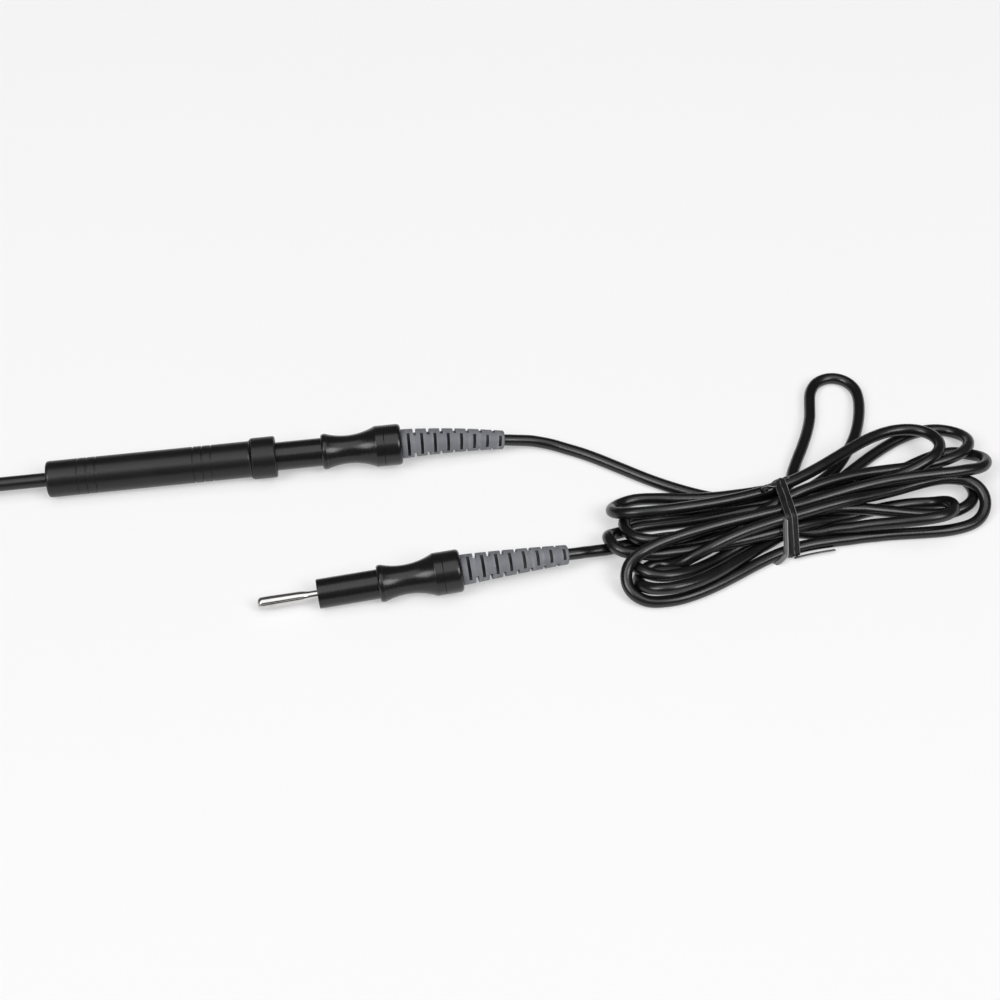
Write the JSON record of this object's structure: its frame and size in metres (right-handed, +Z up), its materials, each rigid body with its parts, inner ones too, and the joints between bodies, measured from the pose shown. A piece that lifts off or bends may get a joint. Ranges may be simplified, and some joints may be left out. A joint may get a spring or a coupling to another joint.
{
  "type": "laparoscopic hook electrode",
  "caption": "Reusable laparoscopic hook electrode: long insulated shaft with an L hook tip, grooved handle, and a plug-in cable gathered in a tied hank that ends in a split-pin plug.",
  "frame": {"origin": "on the table under the middle of the instrument, cable left out", "axes": "+X from the hook towards the handle and its plug, +Z up, the instrument lying on its collar and its shaft's end"},
  "size_m": [0.6656, 0.0975, 0.0155],
  "materials": {
    "black_satin": "black, satin, turned or moulded",
    "black_insulation": "black shrink-fitted insulation, satin",
    "black_cable": "black silicone cable sheath, glossy",
    "grey_rubber": "mid grey strain relief, matt",
    "steel": "polished",
    "brass": "turned",
    "ceramic": "dark ceramic nose, smooth",
    "seal_rubber": "black O-ring rubber"
  },
  "bodies": {
    "instrument": {"hook_electrode": "steel", "tip_insulator": "ceramic", "conductor_tube": "steel", "shaft_insulation": "black_insulation", "handle_barrel": "black_satin", "nose_seal": "seal_rubber", "shaft_clamp": "brass", "contact_socket": "brass", "socket_screw": "steel", "socket_retainer": "black_satin", "rear_collar": "black_satin"},
    "cable": {"handle_plug_pin": "steel", "handle_plug_crimp": "brass", "handle_plug_body": "black_satin", "handle_plug_boot": "grey_rubber", "cable_lead_handle": "black_cable", "cable_stray_loop": "black_cable", "cable_hank": "black_cable", "twist_tie": "black_satin", "cable_lead_generator": "black_cable", "generator_plug_boot": "grey_rubber", "generator_plug_body": "black_satin", "generator_plug_crimp": "brass", "generator_plug_pin": "steel"}
  },
  "joints": [
    {"name": "plug_pull", "type": "slide", "parent": "instrument", "child": "cable", "axis": [0.9999, 0, 0.0127], "range_m": [0, 0.03]}
  ]
}
